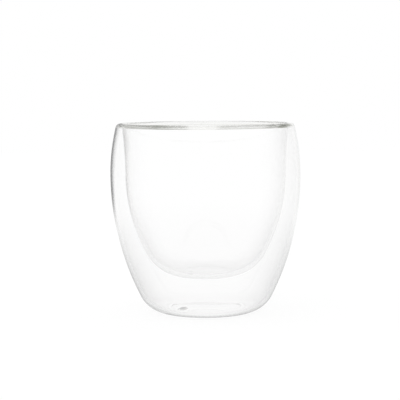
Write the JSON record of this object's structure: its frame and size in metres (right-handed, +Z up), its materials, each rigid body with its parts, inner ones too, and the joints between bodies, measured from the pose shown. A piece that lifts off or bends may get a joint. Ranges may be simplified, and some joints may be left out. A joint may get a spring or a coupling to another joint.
{
  "type": "double walled glass cup",
  "caption": "Clear double walled drinking cup: a round bellied outer shell and a deep bowl fused at a rounded lip, with still air sealed between them and a small sealed vent in the base.",
  "frame": {"origin": "centre of the standing ring, on the table plane under the base", "axes": "+Z up along the cup's axis, -Y towards the viewer of the picture, +X to the viewer's right"},
  "size_m": [0.088, 0.088, 0.0876],
  "materials": {
    "outer_glass": "gloss",
    "inner_glass": "gloss",
    "lip_glass": "gloss",
    "seal_glass": "gloss"
  },
  "bodies": {
    "root": {"outer_shell": "outer_glass", "inner_bowl": "inner_glass", "lip_bead": "lip_glass", "vent_seal": "seal_glass"}
  },
  "joints": []
}
